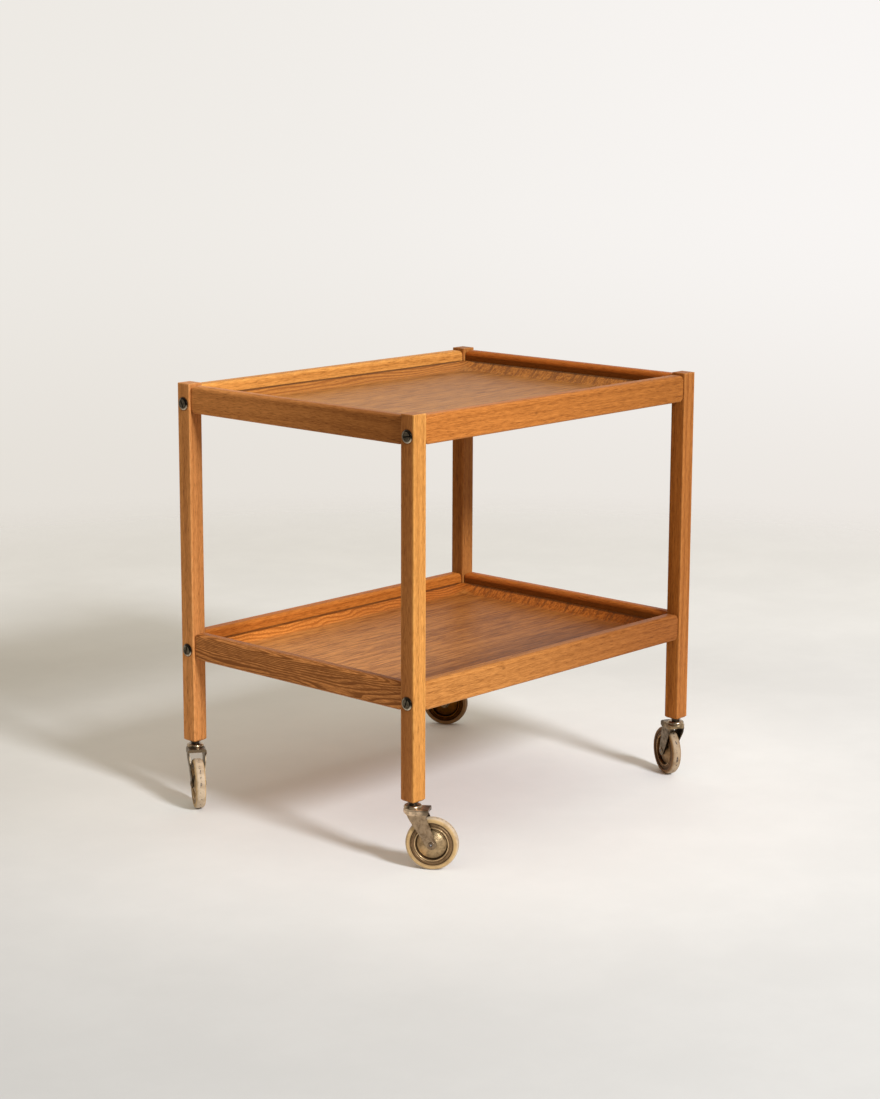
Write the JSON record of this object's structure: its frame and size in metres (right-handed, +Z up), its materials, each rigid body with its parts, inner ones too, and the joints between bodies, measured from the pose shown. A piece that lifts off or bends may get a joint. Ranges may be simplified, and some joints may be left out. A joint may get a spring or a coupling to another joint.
{
  "type": "serving trolley",
  "caption": "Two-tier wooden serving trolley with moulded tray shelves in a bolted post-and-rail frame, on swivelling fork castors with rubber tyres.",
  "frame": {"origin": "on the floor, under the middle of the frame", "axes": "+Z up, +X along the long side, -Y is the front long side"},
  "size_m": [0.6848, 0.5725, 0.648],
  "materials": {
    "oak": "oiled, satin",
    "veneer": "oiled veneer, satin",
    "dowel_wood": "raw",
    "bolt_steel": "aged, satin",
    "zinc_steel": "satin",
    "castor_nickel": "aged warm nickel, satin",
    "hub_bronze": "aged bronze plating, satin",
    "tyre_rubber": "aged, matt"
  },
  "bodies": {
    "frame": {"leg_front_left": "oak", "leg_front_right": "oak", "leg_back_left": "oak", "leg_back_right": "oak", "upper_rail_front": "oak", "upper_rail_back": "oak", "upper_rail_left": "oak", "upper_rail_right": "oak", "upper_tray": "veneer", "lower_rail_front": "oak", "lower_rail_back": "oak", "lower_rail_left": "oak", "lower_rail_right": "oak", "lower_tray": "veneer", "connector_bolts": "bolt_steel", "bolt_collars": "bolt_steel", "barrel_nuts": "zinc_steel", "pin_dowels": "dowel_wood", "rail_dowels": "dowel_wood", "castor_front_left_socket": "zinc_steel", "castor_front_left_stem": "zinc_steel", "castor_front_left_race_cap": "castor_nickel", "castor_front_left_bearing_balls": "zinc_steel", "castor_front_right_socket": "zinc_steel", "castor_front_right_stem": "zinc_steel", "castor_front_right_race_cap": "castor_nickel", "castor_front_right_bearing_balls": "zinc_steel", "castor_back_left_socket": "zinc_steel", "castor_back_left_stem": "zinc_steel", "castor_back_left_race_cap": "castor_nickel", "castor_back_left_bearing_balls": "zinc_steel", "castor_back_right_socket": "zinc_steel", "castor_back_right_stem": "zinc_steel", "castor_back_right_race_cap": "castor_nickel", "castor_back_right_bearing_balls": "zinc_steel"},
    "castor_front_left": {"castor_front_left_fork": "castor_nickel", "castor_front_left_axle": "zinc_steel"},
    "wheel_front_left": {"castor_front_left_wheel_bush": "zinc_steel", "castor_front_left_hub_disc_left": "hub_bronze", "castor_front_left_hub_disc_right": "hub_bronze", "castor_front_left_tyre": "tyre_rubber"},
    "castor_front_right": {"castor_front_right_fork": "castor_nickel", "castor_front_right_axle": "zinc_steel"},
    "wheel_front_right": {"castor_front_right_wheel_bush": "zinc_steel", "castor_front_right_hub_disc_left": "hub_bronze", "castor_front_right_hub_disc_right": "hub_bronze", "castor_front_right_tyre": "tyre_rubber"},
    "castor_back_left": {"castor_back_left_fork": "castor_nickel", "castor_back_left_axle": "zinc_steel"},
    "wheel_back_left": {"castor_back_left_wheel_bush": "zinc_steel", "castor_back_left_hub_disc_left": "hub_bronze", "castor_back_left_hub_disc_right": "hub_bronze", "castor_back_left_tyre": "tyre_rubber"},
    "castor_back_right": {"castor_back_right_fork": "castor_nickel", "castor_back_right_axle": "zinc_steel"},
    "wheel_back_right": {"castor_back_right_wheel_bush": "zinc_steel", "castor_back_right_hub_disc_left": "hub_bronze", "castor_back_right_hub_disc_right": "hub_bronze", "castor_back_right_tyre": "tyre_rubber"}
  },
  "joints": [
    {"name": "swivel_front_left", "type": "hinge", "parent": "frame", "child": "castor_front_left", "pos_m": [-0.3035, -0.228, 0.0885], "axis": [0, 0, 1], "continuous": true},
    {"name": "roll_front_left", "type": "hinge", "parent": "castor_front_left", "child": "wheel_front_left", "pos_m": [-0.28852, -0.25106, 0.038], "axis": [0.8387, 0.5446, 0], "continuous": true},
    {"name": "swivel_front_right", "type": "hinge", "parent": "frame", "child": "castor_front_right", "pos_m": [0.3035, -0.228, 0.0885], "axis": [0, 0, 1], "continuous": true},
    {"name": "roll_front_right", "type": "hinge", "parent": "castor_front_right", "child": "wheel_front_right", "pos_m": [0.31598, -0.2035, 0.038], "axis": [-0.891, 0.454, 0], "continuous": true},
    {"name": "swivel_back_left", "type": "hinge", "parent": "frame", "child": "castor_back_left", "pos_m": [-0.3035, 0.228, 0.0885], "axis": [0, 0, 1], "continuous": true},
    {"name": "roll_back_left", "type": "hinge", "parent": "castor_back_left", "child": "wheel_back_left", "pos_m": [-0.31908, 0.20534, 0.038], "axis": [0.8241, -0.5664, 0], "continuous": true},
    {"name": "swivel_back_right", "type": "hinge", "parent": "frame", "child": "castor_back_right", "pos_m": [0.3035, 0.228, 0.0885], "axis": [0, 0, 1], "continuous": true},
    {"name": "roll_back_right", "type": "hinge", "parent": "castor_back_right", "child": "wheel_back_right", "pos_m": [0.28893, 0.25132, 0.038], "axis": [-0.848, -0.5299, 0], "continuous": true}
  ]
}
